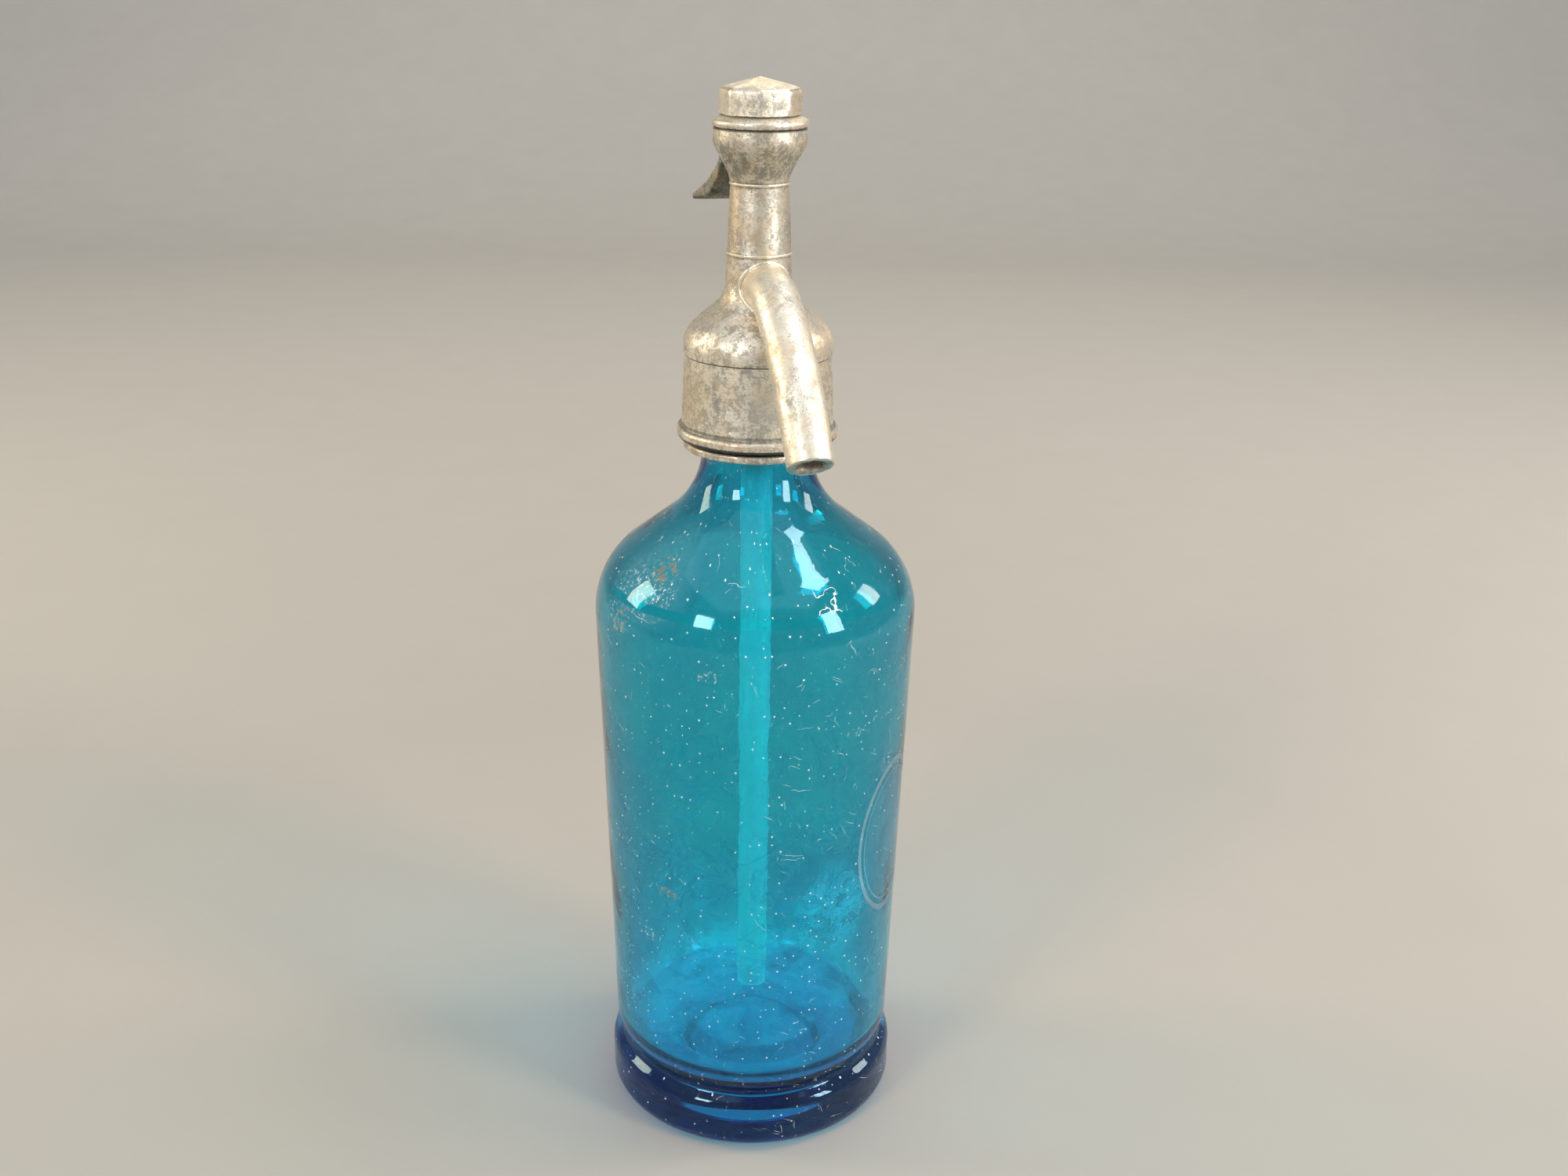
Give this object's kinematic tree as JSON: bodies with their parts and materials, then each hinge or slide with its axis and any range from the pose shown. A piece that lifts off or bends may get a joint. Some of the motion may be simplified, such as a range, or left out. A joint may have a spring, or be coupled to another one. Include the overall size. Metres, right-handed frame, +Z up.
{
  "type": "soda siphon",
  "caption": "Soda siphon: thick blue glass bottle with a foot ring, cast tin head with a curved spout, a thumb lever over a spring-closed valve, and an octagonal screw cap.",
  "frame": {"origin": "middle of the bottle's standing face, on the bottle's axis", "axes": "+Z up along the bottle's axis, -Y the way the spout points, +Y the way the lever points, +X to the right of someone who looks along +Y at the spout"},
  "size_m": [0.0968, 0.1086, 0.32],
  "materials": {
    "glass": "blown turquoise glass, navy where thick, scuffed, with limescale inside",
    "tube_glass": "clear drawn glass tube",
    "tin": "cast tin alloy, aged warm grey, mottled and finely pitted, bright where handled",
    "tin_cap": "cast tin alloy, aged, facets worn bright",
    "tin_lever": "cast tin alloy, worn bright by the thumb on top, dark underneath",
    "brass": "turned brass, dulled",
    "rubber": "old black rubber",
    "red_rubber": "old red-brown rubber",
    "packing": "greased hemp packing",
    "steel": "drawn steel wire and sheet"
  },
  "bodies": {
    "siphon": {"bottle": "glass", "dip_tube": "tube_glass", "tube_ferrule": "brass", "tube_washer": "rubber", "neck_gasket": "red_rubber", "split_collar_left": "brass", "split_collar_right": "brass", "clamp_ring": "tin", "head_body": "tin", "spout": "tin", "valve_seat": "brass", "stuffing_box": "brass", "gland_packing": "packing", "gland_nut": "brass", "spring_washer": "steel", "lever_pin": "steel", "cap": "tin_cap"},
    "lever": {"lever": "tin_lever"},
    "piston": {"valve_disc": "rubber", "valve_holder": "brass", "piston_rod": "brass", "crosshead": "brass", "spring": "steel"}
  },
  "joints": [
    {"name": "lever_press", "type": "hinge", "parent": "siphon", "child": "lever", "pos_m": [0, 0.01, 0.30303], "axis": [-1, 0, 0], "range_deg": [0, 17.8], "stiffness_Nm_per_rad": 0.5, "springref_deg": -17.19},
    {"name": "piston_lift", "type": "slide", "parent": "siphon", "child": "piston", "axis": [0, 0, 1], "range_m": [0, 0.0031], "deforming": ["spring"]}
  ],
  "couplings": [
    {"joint": "lever_press", "follows": "piston_lift", "rad_per_m": 100}
  ]
}
